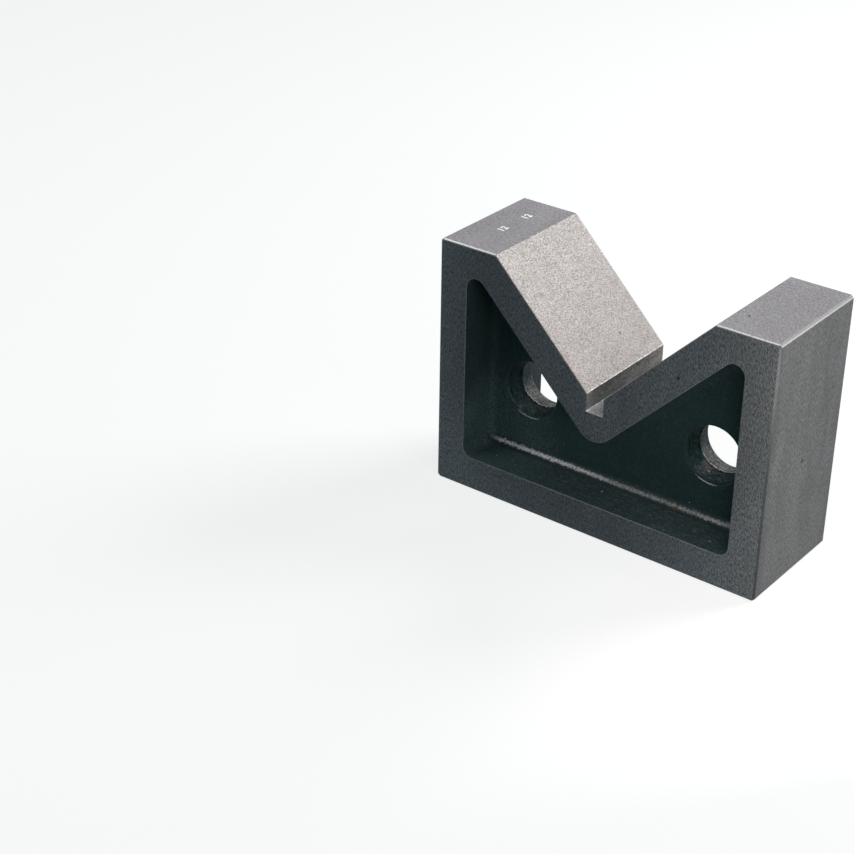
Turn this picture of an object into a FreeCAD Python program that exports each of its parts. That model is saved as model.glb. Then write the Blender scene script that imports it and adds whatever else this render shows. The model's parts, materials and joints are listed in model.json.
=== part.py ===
import FreeCAD, Part
import math
import os

# A plain v block for holding round work: one iron casting, machined on its outer
# faces and in the vee. A pocket in each side face leaves a web in the middle, and
# two tapered holes pass through the web.
#
# Frame: X runs across the vee, Y along it, Z up. The origin is the middle of the base.
# Lengths are in millimetres and angles in degrees.

# Machined block
block_length = 150.0            # across the vee
block_width = 55.0              # along the vee
block_height = 107.0
arm_top_width = 26.2            # flat on top of each arm, beside the vee
vee_angle = 90.0                # between the two flanks

# Relief slot at the root of the vee, clear of the work and of the grinding wheel
slot_width = 7.6
slot_depth = 7.5                # below the lower edges of the flanks
slot_corner_radius = 0.4

# Cast walls round each pocket
end_wall = 13.0
base_thickness = 14.4
vee_wall = 14.0                 # square to the flank
vee_underside_radius = 9.3
web_thickness = 17.0
pocket_corner_radius = 4.5
pocket_draft = 1.0              # lets the pattern leave the sand
web_fillet_radius = 3.5

# Holes through the web, moulded from both sides, so each is narrowest in the middle
hole_diameter = 24.2            # at both faces of the web
hole_draft = 8.5
hole_from_end_wall = 19.8       # centre of the hole to the inside of the end wall
hole_above_base = 28.9          # centre of the hole to the inside of the base
hole_lip_radius = 1.0
hole_lip_flats = 3              # the round of a lip is made of this many flats

# Broken edges
side_chamfer = 0.7              # round both side faces
end_chamfer = 1.1               # along the edges of the two ends
vee_edge_break = 0.25           # round the flanks and the slot
pocket_edge_break = 0.25        # where a pocket meets a side face

# How far a cutter stands out of the metal that it cuts
overshoot = 1.0

# Sizes that follow from the ones above
half_length = block_length / 2
half_width = block_width / 2
half_mouth = half_length - arm_top_width
flank_slope = 90.0 - vee_angle / 2
vee_root_z = block_height - half_mouth * math.tan(math.radians(flank_slope))
slot_floor_z = vee_root_z + slot_width / 2 * math.tan(math.radians(flank_slope)) - slot_depth
web_face_y = web_thickness / 2
hole_x = half_length - end_wall - hole_from_end_wall
hole_z = base_thickness + hole_above_base


def lowered(drop, slope):
    """How far down a line of this slope moves when it is moved square to itself by drop."""
    return drop / math.cos(math.radians(slope))


def crossing(first, second):
    """Where two lines meet. A line is (x, z, slope): a point on it and its angle."""
    x1, z1, slope1 = first
    x2, z2, slope2 = second
    u1 = (math.cos(math.radians(slope1)), math.sin(math.radians(slope1)))
    u2 = (math.cos(math.radians(slope2)), math.sin(math.radians(slope2)))
    along = ((x2 - x1) * u2[1] - (z2 - z1) * u2[0]) / (u1[0] * u2[1] - u1[1] * u2[0])
    return x1 + along * u1[0], z1 + along * u1[1]


def mirrored(right_half):
    """All corners of an outline from those of its right half, listed upwards."""
    return right_half + [(-x, z, radius) for x, z, radius in reversed(right_half)]


def outline(corners, y):
    """A closed wire in the plane at y. A corner is (x, z, radius), and radius 0 is sharp."""
    points = [FreeCAD.Vector(x, y, z) for x, z, radius in corners]
    runs = []
    arcs = []
    for i, corner in enumerate(points):
        radius = corners[i][2]
        back = (points[i - 1] - corner).normalize()
        ahead = (points[(i + 1) % len(points)] - corner).normalize()
        half_angle = back.getAngle(ahead) / 2
        start = corner + back * (radius / math.tan(half_angle))
        end = corner + ahead * (radius / math.tan(half_angle))
        runs.append((start, end))
        if radius > 0:
            middle = corner + (back + ahead).normalize() * (radius / math.sin(half_angle) - radius)
            arcs.append([Part.Arc(start, middle, end).toShape()])
        else:
            arcs.append([])
    edges = []
    for i, (start, end) in enumerate(runs):
        edges += arcs[i] + [Part.makeLine(end, runs[(i + 1) % len(runs)][0])]
    return Part.Wire(edges)


def edges_at(solid, y):
    """The edges of a solid that lie in the plane at y."""
    return [e for e in solid.Edges if abs(e.BoundBox.YMin - y) + abs(e.BoundBox.YMax - y) < 1e-6]


def machined_blank():
    """The outer block before the vee is cut, with the edges of its ends and sides broken."""
    corners = mirrored([
        (half_length - end_chamfer, 0.0, 0.0),
        (half_length, end_chamfer, 0.0),
        (half_length, block_height - end_chamfer, 0.0),
        (half_length - end_chamfer, block_height, 0.0),
    ])
    blank = Part.Face(outline(corners, -half_width)).extrude(FreeCAD.Vector(0, block_width, 0))
    return blank.makeChamfer(side_chamfer, edges_at(blank, -half_width) + edges_at(blank, half_width))


def vee_outline(grow, y):
    """The vee with its relief slot, every side moved out by grow, and open at the top."""
    slot_floor = (0.0, slot_floor_z - grow, 0.0)
    slot_wall = (slot_width / 2 + grow, 0.0, 90.0)
    flank = (0.0, vee_root_z - lowered(grow, flank_slope), flank_slope)
    break_slope = flank_slope / 2
    top_break = (half_mouth + vee_edge_break, block_height - lowered(grow, break_slope), break_slope)
    above = (0.0, block_height + overshoot, 0.0)
    return outline(mirrored([
        (*crossing(slot_floor, slot_wall), slot_corner_radius + grow),
        (*crossing(slot_wall, flank), 0.0),
        (*crossing(flank, top_break), 0.0),
        (*crossing(top_break, above), 0.0),
    ]), y)


def vee_cutter():
    """The space of the vee, flared a little where it meets the side faces."""
    flare = vee_edge_break + overshoot
    return Part.makeLoft([
        vee_outline(flare, -half_width - overshoot),
        vee_outline(0.0, -half_width + vee_edge_break),
        vee_outline(0.0, half_width - vee_edge_break),
        vee_outline(flare, half_width + overshoot),
    ], True, True)


def pocket_outline(inset, y):
    """The pocket under the vee, with every wall moved in by inset."""
    floor = (0.0, base_thickness + inset, 0.0)
    wall = (half_length - end_wall - inset, 0.0, 90.0)
    underside = (0.0, vee_root_z - lowered(vee_wall + inset, flank_slope), flank_slope)
    right_half = [
        (*crossing(floor, wall), pocket_corner_radius - inset),
        (*crossing(wall, underside), pocket_corner_radius - inset),
    ]
    corners = mirrored(right_half)
    corners.insert(len(right_half), (*underside[:2], vee_underside_radius + inset))
    return outline(corners, y)


def pocket_cutter():
    """The space of the front pocket, drafted, rounded at the web and flared at its mouth."""
    depth = half_width - web_face_y
    cutter = Part.makeLoft([
        pocket_outline(-pocket_edge_break - overshoot, -half_width - overshoot),
        pocket_outline(0.0, -half_width + pocket_edge_break),
        pocket_outline(depth * math.tan(math.radians(pocket_draft)), -web_face_y),
    ], True, True)
    return cutter.makeFillet(web_fillet_radius, edges_at(cutter, -web_face_y))


def hole_cutter(x):
    """The space of one hole, turned from its section: narrow in the middle, round at each lip."""
    mouth = hole_diameter / 2
    waist = mouth - web_face_y * math.tan(math.radians(hole_draft))
    lip_turn = 90.0 - hole_draft
    lip_outer = mouth + hole_lip_radius * math.tan(math.radians(lip_turn / 2))
    front_half = [(waist, 0.0)]
    for i in range(hole_lip_flats + 1):
        angle = math.radians(90.0 + lip_turn * (1 - i / hole_lip_flats))
        front_half.append((
            lip_outer + hole_lip_radius * math.cos(angle),
            web_face_y - hole_lip_radius + hole_lip_radius * math.sin(angle),
        ))
    front_half += [(lip_outer, web_face_y + overshoot), (0.0, web_face_y + overshoot)]
    back_half = [(radius, -depth) for radius, depth in reversed(front_half[1:])]
    section = [FreeCAD.Vector(x + radius, -depth, hole_z) for radius, depth in front_half + back_half]
    face = Part.Face(Part.makePolygon(section + section[:1]))
    return face.revolve(FreeCAD.Vector(x, 0, hole_z), FreeCAD.Vector(0, 1, 0), 360)


def v_block():
    """The whole casting."""
    front_pocket = pocket_cutter()
    back_pocket = front_pocket.mirror(FreeCAD.Vector(0, 0, 0), FreeCAD.Vector(0, 1, 0))
    holes = [hole_cutter(side * hole_x) for side in (-1, 1)]
    block = machined_blank().cut([vee_cutter(), front_pocket, back_pocket] + holes)
    return block.removeSplitter().Solids[0]


os.makedirs("parts", exist_ok=True)
v_block().exportStep("parts/v_block.step")
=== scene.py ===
import json
import math

import bpy
from mathutils import Matrix, Vector


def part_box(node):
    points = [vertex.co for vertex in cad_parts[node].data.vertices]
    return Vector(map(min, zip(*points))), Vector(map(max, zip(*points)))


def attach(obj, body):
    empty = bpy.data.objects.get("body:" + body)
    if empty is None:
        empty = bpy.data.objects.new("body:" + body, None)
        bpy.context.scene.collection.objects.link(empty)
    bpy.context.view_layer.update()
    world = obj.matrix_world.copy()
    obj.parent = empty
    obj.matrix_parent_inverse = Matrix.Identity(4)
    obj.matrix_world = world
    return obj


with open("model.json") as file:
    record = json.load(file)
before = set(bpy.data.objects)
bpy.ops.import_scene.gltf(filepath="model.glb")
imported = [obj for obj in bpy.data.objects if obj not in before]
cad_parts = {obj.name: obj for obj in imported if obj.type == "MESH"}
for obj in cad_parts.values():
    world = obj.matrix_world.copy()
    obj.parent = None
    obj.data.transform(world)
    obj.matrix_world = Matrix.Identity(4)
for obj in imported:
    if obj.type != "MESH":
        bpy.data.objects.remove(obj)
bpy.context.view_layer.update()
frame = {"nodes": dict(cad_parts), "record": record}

# The dressed v block: each face gets the finish that its cutter or the sand left on it, with painted light
# and shade in several finishes, and the small things that the casting and the shop left are added as pieces.
# Lengths are in metres, in the frame of the CAD part: X across the vee, Y along it, Z up.

MM = 0.001

block = frame["nodes"]["v_block"]
_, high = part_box("v_block")
half_length, half_width, block_height = high.x, high.y, high.z
mounts = {mount["name"]: Vector(mount["pos_m"]) for mount in frame["record"]["mounts"]}

# The machined vee and its relief slot
arm_top_width = 26.2 * MM
half_mouth = half_length - arm_top_width
slot_top_z = 62.0 * MM
slot_floor_z = 54.5 * MM
slot_half_width = 3.8 * MM

# The cast pockets on both sides of the web, and the holes through it
pocket_floor_z = 14.4 * MM
pocket_low_z = pocket_floor_z - 0.4 * MM    # this and the next are just outside the broken edge
pocket_wall_x = half_length - 12.4 * MM     # of a pocket's mouth
vee_wall_middle_z = 48.0 * MM       # about half way through the vee's wall, at x = 0
web_half = 8.5 * MM
web_fillet = 3.5 * MM
band_middle = pocket_floor_z - web_half + 0.7 * MM      # Y plus Z, on the front pocket's fillet
hole_waist_radius = 10.83 * MM
hole_mouth_radius = 12.1 * MM
hole_lip = 1.2 * MM                 # the round of a lip spreads on the web by less than this,
lip_depth = 0.9 * MM                # it reaches into the hole by less than this,
lip_edge = 0.12 * MM                # and its outermost flat lies less deep than this
hole_left, hole_right = mounts["web_hole_left"], mounts["web_hole_right"]
# A hole's lip carries a painted highlight only below this height.
lip_glint_top_z = hole_left.z - 4 * MM

edge_break = 0.3 * MM               # the broken edges of the vee and the pockets are smaller than this
touch = 0.02 * MM                   # faces closer than this are at the same level
square = 0.999                      # a face looks along an axis from this share of its normal on,
slight = 0.05                       # and is square to the axis, or drafted, up to this share


# Finishes

def opaque(colour):
    """A plain colour with its cover added, for a mixing node. A socket stays as it is."""
    return (*colour, 1.0) if isinstance(colour, tuple) else colour


class Finish:
    """A material in the making. Its patterns lie on the object's own coordinates, in metres."""

    def __init__(self, name):
        self.material = bpy.data.materials.new(name)
        self.material.use_nodes = True
        self.tree = self.material.node_tree
        self.shader = self.tree.nodes["Principled BSDF"]
        self.place = self.add("ShaderNodeTexCoord").outputs["Object"]

    def add(self, kind, **settings):
        """A new node of this kind, with these settings."""
        node = self.tree.nodes.new(kind)
        for setting, value in settings.items():
            setattr(node, setting, value)
        return node

    def feed(self, socket, value):
        """Sets a socket to a number or colour, or joins it to another node's output."""
        if isinstance(value, bpy.types.NodeSocket):
            self.tree.links.new(value, socket)
        else:
            socket.default_value = value

    def maths(self, operation, first, second=0.0):
        """One step of arithmetic on one or two numbers or patterns, such as MULTIPLY or ABSOLUTE."""
        node = self.add("ShaderNodeMath", operation=operation)
        self.feed(node.inputs[0], first)
        self.feed(node.inputs[1], second)
        return node.outputs[0]

    def mapped(self, times=(1.0, 1.0, 1.0), start=(0.0, 0.0, 0.0)):
        """The object's coordinates, multiplied by a number along each axis, from a new start."""
        node = self.add("ShaderNodeMapping")
        self.feed(node.inputs["Vector"], self.place)
        node.inputs["Scale"].default_value = times
        node.inputs["Location"].default_value = tuple(-a for a in start)
        return node.outputs["Vector"]

    def noise(self, size, detail=2.0, roughness=0.55, along=(1.0, 1.0, 1.0), distortion=0.0):
        """Soft noise with patches of this size. along stretches it, as (x, y, z) lengths over size."""
        node = self.add("ShaderNodeTexNoise")
        self.feed(node.inputs["Vector"], self.mapped(times=tuple(1.0 / a for a in along)))
        node.inputs["Scale"].default_value = 1.0 / size
        node.inputs["Detail"].default_value = detail
        node.inputs["Roughness"].default_value = roughness
        node.inputs["Distortion"].default_value = distortion
        return node.outputs["Fac"]

    def colours(self, size):
        """Noise with patches of this size, each of its own red, green and blue."""
        node = self.add("ShaderNodeTexNoise")
        self.feed(node.inputs["Vector"], self.place)
        node.inputs["Scale"].default_value = 1.0 / size
        return node.outputs["Color"]

    def rings(self, centre, spacing):
        """Rings round a line along Y through centre, this far apart and wavering a little."""
        node = self.add("ShaderNodeTexWave", wave_type="RINGS", rings_direction="Y")
        self.feed(node.inputs["Vector"], self.mapped(start=centre))
        # At a scale of one there are 20 rings in 2 pi metres.
        node.inputs["Scale"].default_value = 2.0 * math.pi / 20.0 / spacing
        node.inputs["Distortion"].default_value = 3.0
        node.inputs["Detail"].default_value = 2.0
        node.inputs["Detail Scale"].default_value = 0.05
        return node.outputs["Fac"]

    def ramp(self, value, start, end, low_value=0.0, high_value=1.0):
        """value from start to end, turned smoothly into low_value to high_value."""
        node = self.add("ShaderNodeMapRange", interpolation_type="SMOOTHSTEP")
        self.feed(node.inputs["Value"], value)
        node.inputs["From Min"].default_value = start
        node.inputs["From Max"].default_value = end
        node.inputs["To Min"].default_value = low_value
        node.inputs["To Max"].default_value = high_value
        return node.outputs["Result"]

    def swung(self, level, pattern, spread, swing):
        """A level times a noise pattern that is made to swing round one, by swing either way.
        spread is how far the noise itself strays from 0.5."""
        times = self.ramp(pattern, 0.5 - spread, 0.5 + spread, 1.0 - swing, 1.0 + swing)
        return self.maths("MULTIPLY", level, times)

    def mixed(self, first, second, share):
        """The first colour, turned into the second by its share."""
        node = self.add("ShaderNodeMix", data_type="RGBA", blend_type="MIX")
        self.feed(node.inputs[0], share)
        self.feed(node.inputs[6], opaque(first))
        self.feed(node.inputs[7], opaque(second))
        return node.outputs[2]

    def dimmed(self, colour, times):
        """A colour multiplied by a pattern."""
        node = self.add("ShaderNodeVectorMath", operation="SCALE")
        self.feed(node.inputs[0], colour)
        self.feed(node.inputs["Scale"], times)
        return node.outputs[0]

    def tinted(self, colour, tints, swing):
        """A colour whose red, green and blue each swing with a colour pattern."""
        swung = self.add("ShaderNodeVectorMath", operation="MULTIPLY_ADD")
        self.feed(swung.inputs[0], tints)
        swung.inputs[1].default_value = (2.0 * swing,) * 3
        swung.inputs[2].default_value = (1.0 - swing,) * 3
        times = self.add("ShaderNodeVectorMath", operation="MULTIPLY")
        self.feed(times.inputs[0], colour)
        self.feed(times.inputs[1], swung.outputs[0])
        return times.outputs[0]

    def along(self, axis):
        """One of the object's coordinates."""
        node = self.add("ShaderNodeSeparateXYZ")
        self.feed(node.inputs[0], self.place)
        return node.outputs[axis]

    def reach(self, middle):
        """How far a place is from a line along Y through the middle."""
        node = self.add("ShaderNodeVectorMath", operation="LENGTH")
        self.feed(node.inputs[0], self.mapped(times=(1.0, 0.0, 1.0), start=middle))
        return node.outputs["Value"]

    def near(self, spot, radius, wobble):
        """One at a spot on the surface, falling to nothing at about radius, with an uneven edge."""
        node = self.add("ShaderNodeVectorMath", operation="DISTANCE")
        self.feed(node.inputs[0], self.place)
        node.inputs[1].default_value = spot
        uneven = self.maths("ADD", node.outputs["Value"], self.maths("MULTIPLY", wobble, radius))
        return self.ramp(uneven, radius * 1.5, radius * 0.9)

    def stained(self, base, stains, wobble, speckle):
        """A colour with speckled stains on it. A stain is (spot, radius, colour)."""
        for spot, radius, colour in stains:
            share = self.maths("MULTIPLY", self.near(spot, radius, wobble),
                               self.ramp(speckle, 0.4, 0.6, 0.3, 1.0))
            base = self.mixed(base, colour, share)
        return base

    def bumped(self, layers):
        """Stacks bumps. A layer is (pattern, height in metres)."""
        normal = None
        for pattern, height in layers:
            node = self.add("ShaderNodeBump")
            node.inputs["Strength"].default_value = 1.0
            node.inputs["Distance"].default_value = height
            self.feed(node.inputs["Height"], pattern)
            if normal is not None:
                self.feed(node.inputs["Normal"], normal)
            normal = node.outputs["Normal"]
        self.feed(self.shader.inputs["Normal"], normal)


def machined_iron(name, colour, grain=0.3, grain_size=0.5 * MM, tint=0.2, cloud=0.08, cloud_size=16 * MM,
                  streak=0.06, hair=0.0, run=(1.0, 1.0, 1.0), arcs=None, corners=None, roughness=0.45,
                  specular=0.5, metal=0.0, pits=(), fades=()):
    """A ground or milled face of grey iron: fine grain, broad clouds, streaks and hairline scratches
    the way the cutter ran, and a few open pits, painted dark as the shade in their hollows. grain, cloud,
    streak and hair say how far each of them swings the brightness, and tint how far the grain swings the hue.
    run is the length of a streak along each axis, over its width. arcs is the centre of a face cutter's faint
    arcs. corners is (middle, start, end, low, high), for painted shade: a side that is darker near its middle
    and paler away from it. Each fade is (axis, start, end, colour), for another colour towards one edge, and
    each pit (spot, radius)."""
    finish = Finish(name)
    fine = finish.noise(grain_size, detail=4.0, roughness=0.85, along=tuple(a ** 0.4 for a in run))
    clouds = finish.noise(cloud_size, detail=4.0, roughness=0.62, distortion=0.4,
                          along=tuple(a ** (1 / 3) for a in run))
    streaks = finish.noise(0.7 * MM, detail=4.0, roughness=0.7, along=run)
    spots = finish.noise(2.4 * MM, detail=2.0)

    level = finish.swung(1.0, fine, 0.15, grain)
    level = finish.swung(level, clouds, 0.2, cloud)
    level = finish.swung(level, streaks, 0.2, streak)
    level = finish.swung(level, spots, 0.4, 0.05)
    if hair > 0.0:
        hairs = finish.noise(0.5 * MM, detail=1.0, along=tuple(4.0 * a if a > 1.0 else a for a in run))
        level = finish.maths("MULTIPLY", level, finish.ramp(hairs, 0.7, 0.8, 1.0, 1.0 + hair))
    if arcs is not None:
        level = finish.swung(level, finish.rings(arcs, 1.3 * MM), 0.5, 0.03)
    # Painted shade: darker near the middle, paler away from it.
    if corners is not None:
        level = finish.maths("MULTIPLY", level, finish.ramp(finish.reach(corners[0]), *corners[1:]))
    base = colour
    for axis, start, end, next_colour in fades:
        base = finish.mixed(base, next_colour, finish.ramp(finish.along(axis), start, end))
    base = finish.dimmed(base, level)
    base = finish.tinted(base, finish.colours(grain_size), tint)
    for spot, radius in pits:
        base = finish.mixed(base, pit_shade, finish.near(spot, radius, spots))
    finish.feed(finish.shader.inputs["Base Color"], base)

    finish.feed(finish.shader.inputs["Roughness"],
                finish.ramp(streaks, 0.2, 0.8, roughness - 0.06, roughness + 0.06))
    finish.shader.inputs["Metallic"].default_value = metal
    finish.shader.inputs["Specular IOR Level"].default_value = specular
    finish.bumped([(fine, 0.035 * MM), (streaks, 0.1 * MM * streak)])
    return finish.material


def cast_skin(name, colour, lump_colour, back_colour, grain=0.35, specular=0.12, roughness=0.6,
              floor_colour=None, painted_highlight_colour=None, stains=()):
    """Iron as it came from the sand: dark, pimpled and mottled. back_colour is for the back pocket,
    which is paler: it is a lit copy of the skin, and the front pocket's darker, teal colours are painted
    shade.
    floor_colour is for the dusty floor, and painted_highlight_colour for a painted highlight along the
    middle of the front pocket's lower fillet. A stain is (spot, radius, colour)."""
    finish = Finish(name)
    fine = finish.noise(0.6 * MM, detail=4.0, roughness=0.85)
    pimples = finish.noise(1.5 * MM, detail=3.0, roughness=0.65)
    lumps = finish.noise(5.0 * MM, detail=2.0)
    clouds = finish.noise(22 * MM, detail=3.0)

    base = finish.mixed(colour, lump_colour, finish.ramp(pimples, 0.42, 0.72))
    # Painted light and shade: towards the back the skin turns to the paler, lit colour, and the front keeps
    # the darker, teal one.
    in_back = finish.ramp(finish.along("Y"), 0.0, web_half - 0.5 * MM, 0.0, 0.75)
    base = finish.mixed(base, back_colour, in_back)
    if floor_colour is not None:
        rubs = finish.noise(0.5 * MM, detail=4.0, roughness=0.8, along=(4.0, 1.3, 1.3))
        dusty = finish.mixed(floor_colour, floor_rub, finish.ramp(rubs, 0.47, 0.72))
        on_floor = finish.ramp(finish.along("Z"), pocket_floor_z + 2.0 * MM, pocket_floor_z + 0.8 * MM)
        base = finish.mixed(base, dusty, on_floor)
    # Painted highlight: a pale, ragged, speckled band along the middle of the fillet, where the fill light
    # glints.
    if painted_highlight_colour is not None:
        across_band = finish.maths("ADD", finish.along("Z"), finish.along("Y"))
        from_middle = finish.maths("ABSOLUTE", finish.maths("SUBTRACT", across_band, band_middle))
        uneven = finish.maths("MULTIPLY", finish.maths("SUBTRACT", pimples, 0.5), 3.5 * MM)
        ragged = finish.maths("ADD", from_middle, uneven)
        from_ends = finish.ramp(finish.maths("ABSOLUTE", finish.along("X")),
                                pocket_wall_x - 1.5 * MM, pocket_wall_x - 9 * MM)
        speckled = finish.maths("MULTIPLY", from_ends, finish.ramp(fine, 0.36, 0.6, 0.25, 1.0))
        band = finish.maths("MULTIPLY", finish.ramp(ragged, 1.8 * MM, 0.0), speckled)
        # The painted highlight is strongest on the left half, and stronger at the right end than in the
        # middle.
        band = finish.maths("MULTIPLY", band, finish.ramp(finish.along("X"), -26 * MM, 6 * MM, 1.45, 0.45))
        band = finish.maths("MULTIPLY", band, finish.ramp(finish.along("X"), 35 * MM, 41 * MM, 1.0, 1.73))
        base = finish.mixed(base, painted_highlight_colour, band)
    base = finish.stained(base, stains, pimples, fine)
    level = finish.swung(1.0, fine, 0.2, grain)
    level = finish.swung(level, clouds, 0.5, 0.2)
    finish.feed(finish.shader.inputs["Base Color"], finish.dimmed(base, level))
    finish.feed(finish.shader.inputs["Roughness"],
                finish.ramp(pimples, 0.2, 0.8, roughness - 0.06, roughness + 0.06))
    finish.shader.inputs["Specular IOR Level"].default_value = specular
    finish.bumped([(lumps, 0.2 * MM), (pimples, 0.1 * MM), (fine, 0.06 * MM)])
    return finish.material


def core_skin(name, front, front_low_lit, back, back_low_lit, stains):
    """The rough skin of a hole. The half towards the front pocket is darker, as painted shade, and the back
    half paler, as painted light; each half is also painted paler at the bottom, as painted light."""
    finish = Finish(name)
    fine = finish.noise(0.6 * MM, detail=4.0, roughness=0.85)
    pimples = finish.noise(1.3 * MM, detail=3.0, roughness=0.7)
    lumps = finish.noise(4.0 * MM, detail=2.0)

    # Painted light: each half turns to its paler colour towards the bottom of the hole.
    height = finish.along("Z")
    front_share = finish.ramp(height, hole_left.z - 7 * MM, hole_left.z - 11 * MM)
    back_share = finish.ramp(height, hole_left.z - 1 * MM, hole_left.z - 10.5 * MM)
    shaded_front_half = finish.mixed(front, front_low_lit, front_share)
    lit_back_half = finish.mixed(back, back_low_lit, back_share)
    # Painted shade and light: the front half keeps the darker colours, and the back half the paler ones.
    base = finish.mixed(shaded_front_half, lit_back_half, finish.ramp(finish.along("Y"), -0.2 * MM, 0.1 * MM))
    base = finish.stained(base, stains, pimples, fine)
    level = finish.swung(1.0, fine, 0.2, 0.6)
    level = finish.swung(level, pimples, 0.14, 0.5)
    level = finish.swung(level, lumps, 0.2, 0.25)
    finish.feed(finish.shader.inputs["Base Color"], finish.dimmed(base, level))
    finish.feed(finish.shader.inputs["Roughness"], finish.ramp(pimples, 0.2, 0.8, 0.5, 0.65))
    finish.shader.inputs["Specular IOR Level"].default_value = 0.04
    finish.bumped([(lumps, 0.8 * MM), (pimples, 0.5 * MM), (fine, 0.15 * MM)])
    return finish.material


# Small open pits, on the faces where they lie, each painted dark as the shade in its hollow: (spot, radius)
flank_pit = (Vector((-13.08, 8.68, 71.28)) * MM, 1.0 * MM)
side_pit = (Vector((35.28, -27.5, 81.28)) * MM, 0.9 * MM)
top_pit = (Vector((54.03, -13.19, 107.0)) * MM, 0.7 * MM)
end_pit = (Vector((75.0, -0.44, 49.05)) * MM, 1.3 * MM)
pit_shade = (0.006, 0.007, 0.008)

# A pool of painted light, brown stains, bare specks, rubs and the lips' painted highlights on the cast skin:
# (spot, radius, colour)
rust = (0.120, 0.105, 0.100)
brown = (0.160, 0.090, 0.035)
bare = (0.5, 0.5, 0.5)
# The colour of a broad pool of painted light over the low left of the front pocket.
pooled_light = (0.084, 0.128, 0.136)
floor_rub = (0.15, 0.18, 0.19)
# The colour of the painted highlight on the holes' lips, where they glint.
lip_glint = (0.72, 0.74, 0.78)
# Painted light: one broad pale pool over the low left end of the front pocket.
pocket_pooled_light = [(Vector((-58.0, -14.0, 16.0)) * MM, 38 * MM, pooled_light)]
pocket_stains = [
    (Vector((28.7, -10.1, 15.3)) * MM, 1.4 * MM, brown),
    (Vector((-1.3, -16.2, 14.4)) * MM, 0.6 * MM, bare),
    (Vector((51.1, -21.1, 14.4)) * MM, 0.6 * MM, bare),
]
# Painted highlights: one pale patch on the low lip of each hole.
lip_glints = [(hole + Vector((-1.7, -8.4, -12.6)) * MM, 6 * MM, lip_glint) for hole in (hole_left, hole_right)]
core_stains = [
    (Vector((36.6, -2.2, 33.9)) * MM, 3.4 * MM, rust),
    (Vector((38.3, -3.3, 32.7)) * MM, 0.7 * MM, bare),
]

cutter_centre = Vector((-95.0, 0.0, -120.0)) * MM
# Painted shade on the sides: darker near their middle, paler towards the far corners.
side_painted_shade = (Vector((0.0, 0.0, 75.0)) * MM, 62 * MM, 98 * MM, 0.87, 1.5)
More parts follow.
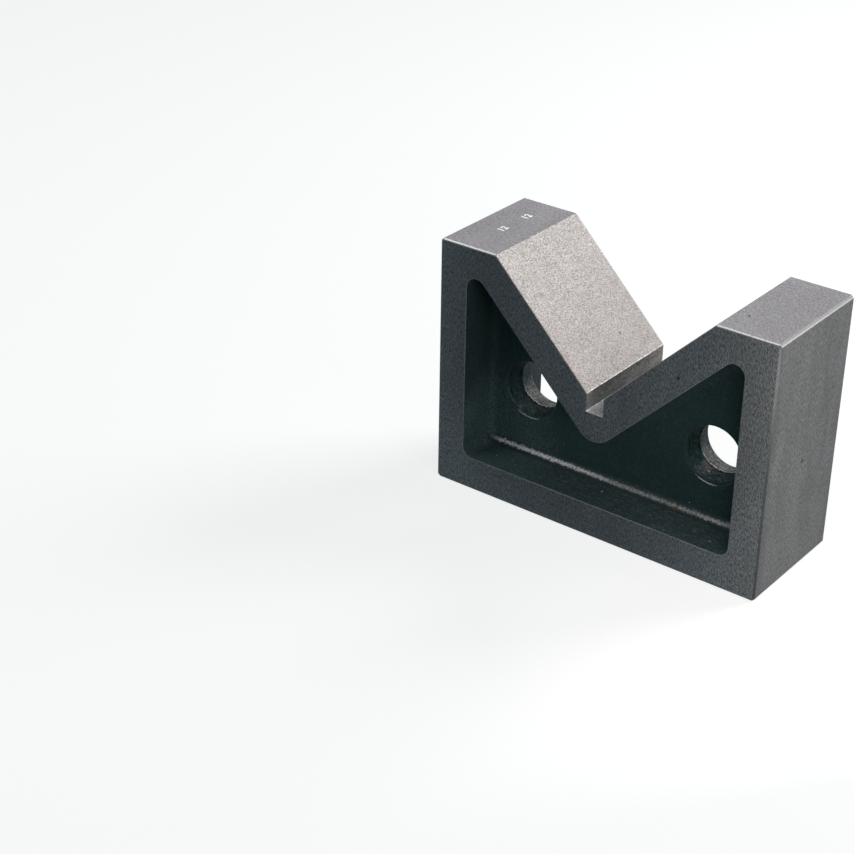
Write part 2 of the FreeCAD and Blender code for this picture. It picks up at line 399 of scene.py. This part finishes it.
# The pockets' skin: this back colour is a paler, lit copy, and the front pockets' darker, teal colours are
# painted shade.
back_skin = (0.075, 0.086, 0.09)
finishes = {
    # The sides' colour is darker and bluer than the ground faces', partly as painted shade, and it turns
    # greyer and paler towards the right end as painted light.
    "side": machined_iron("side_milled", (0.113, 0.130, 0.148), grain=0.78, tint=0.3, streak=0.1, hair=0.15,
                          run=(1.0, 1.0, 14.0), arcs=cutter_centre, corners=side_painted_shade, roughness=0.5,
                          specular=0.12, pits=[side_pit],
                          fades=[("X", 45 * MM, 68 * MM, (0.124, 0.135, 0.147))]),
    "mouth_arris": machined_iron("mouth_arris", (0.175, 0.19, 0.2), grain=0.5, roughness=0.5, specular=0.3),
    # Painted shade and highlight on the corners: dark low down and at the left end, and pale high up, where
    # the upright corners glint.
    "corner": machined_iron("corner_glint_and_shade", (0.075, 0.085, 0.09), roughness=0.5, specular=0.2,
                            fades=[("Z", 55 * MM, 95 * MM, (0.22, 0.23, 0.24)),
                                   ("X", -60 * MM, -70 * MM, (0.03, 0.034, 0.036))]),
    # The end face turns darker towards its front edge, as painted shade.
    "end": machined_iron("end_milled", (0.128, 0.132, 0.138), grain=0.8, cloud=0.2, cloud_size=9 * MM,
                         streak=0.1, hair=0.1, run=(1.0, 1.0, 18.0), roughness=0.5, specular=0.3,
                         pits=[end_pit],
                         fades=[("Y", 7 * MM - half_width, 0.5 * MM - half_width, (0.09, 0.096, 0.104))]),
    "top": machined_iron("top_ground", (0.420, 0.382, 0.412), grain=0.45, streak=0.08, run=(1.0, 16.0, 1.0),
                         roughness=0.42, specular=0.3, pits=[top_pit]),
    # Painted shade and highlight on the flanks: darker towards the slot, and a bright line along their lower
    # edge.
    "flank": machined_iron("flank_ground", (0.304, 0.276, 0.274), grain=0.94, grain_size=0.36 * MM, tint=0.3,
                           streak=0.04, run=(1.0, 12.0, 1.0), metal=0.1, pits=[flank_pit],
                           fades=[("Z", block_height, slot_top_z, (0.24, 0.211, 0.208)),
                                  ("Z", slot_top_z + 0.5 * MM, slot_top_z, (0.6, 0.59, 0.58))]),
    # Painted light in the slot: paler towards the back, and a pale floor where the light falls in.
    "slot": machined_iron("slot_milled", (0.152, 0.157, 0.156), grain=0.6, tint=0.3, cloud=0.3,
                          cloud_size=5 * MM, streak=0.14, run=(1.0, 12.0, 1.0), specular=0.3,
                          fades=[("Y", -half_width, half_width, (0.225, 0.222, 0.212)),
                                 ("Z", slot_floor_z + 0.3 * MM, slot_floor_z + 0.1 * MM, (0.5, 0.49, 0.5))]),
    # A painted highlight: the front arrises turn pale near the top, where they glint.
    "front_arris": machined_iron("front_arris", (0.1, 0.105, 0.11), grain=0.2, roughness=0.4, metal=0.5,
                                 fades=[("Z", block_height - 0.52 * MM, block_height - 0.3 * MM,
                                         (0.64, 0.64, 0.64))]),
    # A painted highlight: the end arrises are bright low down, where they glint, and darker near the top.
    "end_arris": machined_iron("end_arris", (0.45, 0.455, 0.475), grain=0.2,
                               fades=[("Z", block_height - 0.82 * MM, block_height - 0.55 * MM,
                                       (0.18, 0.177, 0.18))]),
    "pocket": cast_skin("pocket_skin", (0.029, 0.053, 0.056), (0.038, 0.068, 0.071), back_skin,
                        specular=0.03, floor_colour=(0.045, 0.071, 0.077),
                        stains=pocket_pooled_light + pocket_stains),
    "fillet": cast_skin("fillet_skin", (0.036, 0.056, 0.059), (0.044, 0.066, 0.069), back_skin, specular=0.13,
                        roughness=0.45, painted_highlight_colour=(0.84, 0.78, 0.82), stains=pocket_stains),
    "lip": cast_skin("lip_skin", (0.026, 0.044, 0.047), (0.034, 0.056, 0.060), back_skin, specular=0.15,
                     roughness=0.4, stains=lip_glints),
    "core": core_skin("core_skin", (0.010, 0.026, 0.028), (0.040, 0.060, 0.066),
                      (0.0245, 0.043, 0.047), (0.165, 0.168, 0.172), core_stains),
}


def finish_of(face):
    """Which finish a face of the block has, from where it lies and the way that it looks."""
    place, look = face.center, face.normal
    x, y, z = abs(place.x), abs(place.y), place.z
    across, along, up = abs(look.x), abs(look.y), abs(look.z)
    on_side = y > half_width - touch and along > square
    if not on_side and x < pocket_wall_x and pocket_low_z < z < vee_wall_middle_z + x:
        return cast_finish_of(place, y, along)
    if along > square:
        return "side"
    if across > square and x > half_length - touch:
        return "end"
    if up > square and z > block_height - touch or z < touch:
        return "top"
    if x < slot_half_width + edge_break and z < slot_top_z - touch:
        return "slot"
    if x < half_mouth + edge_break and z > slot_top_z - edge_break:
        return "flank"
    if z < pocket_floor_z or up < slight:
        return "corner"
    return "front_arris" if along > 0.5 else "end_arris"


def cast_finish_of(place, y, along):
    """The finish of a face inside a pocket or a hole."""
    if y > half_width - edge_break:
        return "mouth_arris"
    to_hole = min(math.hypot(place.x - hole.x, place.z - hole.z) for hole in (hole_left, hole_right))
    if to_hole < hole_mouth_radius and y < web_half - lip_depth:
        return "core"
    turning = slight < along < square
    on_lip = to_hole < hole_mouth_radius + hole_lip and y > web_half - lip_edge
    if turning and on_lip and place.z < lip_glint_top_z:
        return "lip"
    if turning and place.z < pocket_floor_z + web_fillet and y < web_half + web_fillet:
        return "fillet"
    return "pocket"


def dress(node):
    """Gives each face of the CAD node its finish."""
    node.data.materials.clear()
    for material in finishes.values():
        node.data.materials.append(material)
    names = list(finishes)
    for face in node.data.polygons:
        face.material_index = names.index(finish_of(face))


# Pieces

def only(piece):
    """Leaves just this piece selected and active."""
    bpy.ops.object.select_all(action="DESELECT")
    piece.select_set(True)
    bpy.context.view_layer.objects.active = piece


def settle(piece, name, material):
    """Puts a finished piece's place into its mesh, names it, and lets it ride on the block."""
    only(piece)
    bpy.ops.object.transform_apply(location=True, rotation=True, scale=True)
    bpy.ops.object.mode_set(mode="EDIT")
    bpy.ops.mesh.select_all(action="SELECT")
    bpy.ops.mesh.remove_doubles(threshold=0.002 * MM)
    bpy.ops.mesh.normals_make_consistent(inside=False)
    bpy.ops.object.mode_set(mode="OBJECT")
    piece.name = piece.data.name = name
    piece.data.materials.clear()
    piece.data.materials.append(material)
    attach(piece, "root")
    return piece


def apply_modifier(piece, kind, **settings):
    """Adds a modifier with these settings and applies it."""
    modifier = piece.modifiers.new(kind.title(), kind)
    for setting, value in settings.items():
        setattr(modifier, setting, value)
    only(piece)
    bpy.ops.object.modifier_apply(modifier=modifier.name)


def hole_flash(name, hole, seed):
    """The thin ragged fin that the two halves of the mould left round the waist of a hole."""
    overlap = 0.15 * MM             # how far the fin's outer edge is sunk in the casting
    inner_share = 0.972             # its inner edge, over its outer one
    bpy.ops.object.select_all(action="DESELECT")
    bpy.ops.mesh.primitive_circle_add(vertices=180, radius=hole_waist_radius + overlap,
                                      location=(hole.x, 0.0, hole.z), rotation=(math.pi / 2, 0.0, 0.0))
    fin = bpy.context.object
    bpy.ops.object.mode_set(mode="EDIT")
    bpy.ops.mesh.select_all(action="SELECT")
    bpy.ops.mesh.extrude_edges_move()
    bpy.ops.transform.resize(value=(inner_share, 1.0, inner_share), center_override=(hole.x, 0.0, hole.z))
    bpy.ops.transform.vertex_random(offset=0.3 * MM, uniform=0.4, normal=0.0, seed=seed)
    bpy.ops.object.mode_set(mode="OBJECT")
    apply_modifier(fin, "SOLIDIFY", thickness=0.3 * MM, offset=0.0, use_rim=True)
    return settle(fin, name, fin_shade_and_glint)


def punched_number(name, words, spot, height, boldness, thickness, material):
    """A number as a thin flat mesh on the top of an arm, reading along the vee."""
    digit_share = 0.7               # a digit's height, over the size that is set for the text
    bpy.ops.object.select_all(action="DESELECT")
    bpy.ops.object.text_add(location=(spot.x, spot.y, block_height), rotation=(0.0, 0.0, math.pi / 2))
    text = bpy.context.object
    text.data.body = words
    text.data.size = height / digit_share
    text.data.align_x, text.data.align_y = "CENTER", "CENTER"
    text.data.space_character = 1.15
    text.data.resolution_u = 4
    text.data.offset = boldness
    text.data.extrude = thickness
    bpy.ops.object.convert(target="MESH")
    return settle(bpy.context.object, name, material)


def pair_number(name, words, spot, height):
    """A plain number from hand punches: near-white strokes as a painted glint, each with a painted shadow
    round it.
    """
    punched_number(name + "_punch_shadow", words, spot, height, boldness=0.34 * MM, thickness=0.01 * MM,
                   material=punch_shadow_dark)
    punched_number(name + "_strokes", words, spot, height, boldness=0.22 * MM, thickness=0.03 * MM,
                   material=stroke_glint)


def sand_grain(name, spot, size, seed):
    """A grain of moulding sand that stayed on the cast skin."""
    bpy.ops.object.select_all(action="DESELECT")
    bpy.ops.mesh.primitive_ico_sphere_add(subdivisions=2, radius=size / 2, location=spot)
    grain = bpy.context.object
    bpy.ops.object.mode_set(mode="EDIT")
    bpy.ops.mesh.select_all(action="SELECT")
    bpy.ops.transform.resize(value=(1.0, 0.7, 0.8), center_override=spot)
    bpy.ops.transform.vertex_random(offset=size * 0.14, uniform=0.6, normal=0.3, seed=seed)
    bpy.ops.object.mode_set(mode="OBJECT")
    apply_modifier(grain, "SUBSURF", levels=1)
    return settle(grain, name, grain_pale)


# A fin is painted dark in front and over its upper part, as painted shade. At the bottom of the hole
# its broken edge and its back are painted bright, as painted light.
fin_shade_and_glint = machined_iron("fin_shade_and_glint", (0.008, 0.01, 0.01), roughness=0.6, specular=0.1,
                           fades=[("Y", -0.14 * MM, -0.1 * MM, (0.75, 0.74, 0.72)),
                                  ("Z", hole_left.z - 8 * MM, hole_left.z - 3 * MM, (0.03, 0.04, 0.042))])
# Painted light on the numbers: near-white metal strokes for the glint of the punched edges, and a dark rim
# round them for their shadow.
stroke_glint = machined_iron("stroke_glint", (0.95, 0.95, 0.95), grain=0.05, tint=0.02, roughness=0.25,
                              metal=0.8)
punch_shadow_dark = machined_iron("punch_shadow_dark", (0.12, 0.12, 0.125), roughness=0.6, specular=0.2)
grain_pale = machined_iron("grain_pale", (0.45, 0.46, 0.46), grain=0.3, roughness=0.6, specular=0.4)

dress(block)
hole_flash("hole_flash_left", hole_left, seed=3)
hole_flash("hole_flash_right", hole_right, seed=11)
number_height = 3.0 * MM
pair_number("pair_number_front", "12", Vector((-61.4, -5.0, 0.0)) * MM, number_height)
pair_number("pair_number_back", "12", Vector((-61.6, 11.2, 0.0)) * MM, number_height)

# Where sand stayed in the front pocket: (spot in millimetres, size in millimetres)
grains = [
    ((33.9, -8.6, 19.3), 0.5),
    ((47.2, -5.7, 32.8), 0.55),
    ((-23.2, -9.4, 17.0), 0.45),
    ((19.6, -27.2, 14.4), 0.45),
    ((-50.6, -19.2, 14.5), 0.5),
    ((-48.4, -20.6, 14.5), 0.4),
    ((-40.6, -20.6, 14.5), 0.5),
    ((-43.1, -19.0, 14.5), 0.4),
]
for number, (spot, size) in enumerate(grains, start=1):
    sand_grain(f"sand_grain_{number}", Vector(spot) * MM, size * MM, seed=number)


# Floor, light and camera

def seen_by_eye_or_mirror(tree):
    """One for rays from the camera and for those that gloss or glass sends on, and nothing for the
    light that falls on things."""
    path = tree.nodes.new("ShaderNodeLightPath")
    total = path.outputs["Is Camera Ray"]
    for ray in ("Is Glossy Ray", "Is Transmission Ray"):
        node = tree.nodes.new("ShaderNodeMath")
        node.operation = "MAXIMUM"
        tree.links.new(total, node.inputs[0])
        tree.links.new(path.outputs[ray], node.inputs[1])
        total = node.outputs[0]
    return total


def make_floor():
    """A pale floor that takes the block's shadow and glows a little where it is seen."""
    bpy.ops.object.select_all(action="DESELECT")
    bpy.ops.mesh.primitive_plane_add(size=floor_side, location=(0.0, 0.0, 0.0))
    floor = bpy.context.object
    floor.name = "floor"
    material = bpy.data.materials.new("pale_floor")
    material.use_nodes = True
    tree = material.node_tree
    shader = tree.nodes["Principled BSDF"]
    shader.inputs["Base Color"].default_value = (floor_grey, floor_grey, floor_grey, 1.0)
    shader.inputs["Roughness"].default_value = 0.9
    shader.inputs["Specular IOR Level"].default_value = 0.0
    glow = tree.nodes.new("ShaderNodeEmission")
    glow.inputs["Color"].default_value = (1.0, 1.0, 1.0, 1.0)
    times = tree.nodes.new("ShaderNodeMath")
    times.operation = "MULTIPLY"
    tree.links.new(seen_by_eye_or_mirror(tree), times.inputs[0])
    times.inputs[1].default_value = floor_glow
    tree.links.new(times.outputs[0], glow.inputs["Strength"])
    both = tree.nodes.new("ShaderNodeAddShader")
    tree.links.new(shader.outputs[0], both.inputs[0])
    tree.links.new(glow.outputs[0], both.inputs[1])
    tree.links.new(both.outputs[0], tree.nodes["Material Output"].inputs["Surface"])
    floor.data.materials.append(material)


def make_backdrop():
    """White all round where it is seen, and a dim cool room for the light that falls."""
    world = bpy.data.worlds.new("studio")
    bpy.context.scene.world = world
    world.use_nodes = True
    tree = world.node_tree
    light = tree.nodes["Background"]
    light.inputs["Color"].default_value = (*room_colour, 1.0)
    light.inputs["Strength"].default_value = room_light
    white = tree.nodes.new("ShaderNodeBackground")
    white.inputs["Color"].default_value = (1.0, 1.0, 1.0, 1.0)
    white.inputs["Strength"].default_value = 1.0
    either = tree.nodes.new("ShaderNodeMixShader")
    tree.links.new(seen_by_eye_or_mirror(tree), either.inputs[0])
    tree.links.new(light.outputs[0], either.inputs[1])
    tree.links.new(white.outputs[0], either.inputs[2])
    tree.links.new(either.outputs[0], tree.nodes["World Output"].inputs["Surface"])


def softbox(name, toward, distance, size, power, colour=(1.0, 1.0, 1.0)):
    """A lamp with a soft square face that looks at the block from this direction. The distance and
    the size are in metres and the power is in watts."""
    light = bpy.data.lights.new(name, "AREA")
    light.shape = "RECTANGLE"
    light.size, light.size_y = size
    light.energy = power
    light.color = colour
    lamp = bpy.data.objects.new(name, light)
    bpy.context.scene.collection.objects.link(lamp)
    direction = Vector(toward).normalized()
    lamp.location = block_middle + direction * distance
    lamp.rotation_euler = direction.to_track_quat("Z", "Y").to_euler()
    lamp.visible_camera = False


floor_side = 12.0               # metres
floor_grey = 0.35
floor_glow = 0.78
room_colour = (0.5, 0.93, 1.0)
room_light = 0.13
block_middle = Vector((0.0, 0.0, block_height / 2))

make_floor()
make_backdrop()
softbox("key", (0.38, 0.735, 0.56), 1.0, (0.5, 0.5), 8.0, (1.0, 0.97, 0.94))
softbox("fill", (-0.538, -0.478, 0.693), 1.5, (0.45, 0.45), 2.5, (1.0, 0.99, 0.98))
softbox("window", (0.6, -0.72, 0.35), 1.5, (0.6, 0.6), 1.0)
softbox("side_card", (0.775, -0.587, 0.233), 0.1652, (0.08, 0.08), 0.068, (1.0, 0.91, 0.82))

# The camera, worked out from the block's own square corners in the photograph
picture_side = 854              # pixels
focal_length_pixels = 1942.1
camera_place = Vector((0.34978, -0.58274, 0.40423))
camera_turn = math.radians(37.778)      # to the right of straight in front
camera_drop = math.radians(28.614)      # below level
camera_roll = math.radians(0.766)

camera = bpy.data.objects.new("camera", bpy.data.cameras.new("camera"))
bpy.context.scene.collection.objects.link(camera)
camera.data.lens = camera.data.sensor_width * focal_length_pixels / picture_side
camera.data.clip_start, camera.data.clip_end = 0.01, 100.0
camera.matrix_world = (Matrix.Translation(camera_place) @ Matrix.Rotation(camera_turn, 4, "Z")
                       @ Matrix.Rotation(math.pi / 2 - camera_drop, 4, "X")
                       @ Matrix.Rotation(camera_roll, 4, "Z"))
bpy.context.scene.camera = camera
bpy.context.scene.view_settings.view_transform = "Standard"
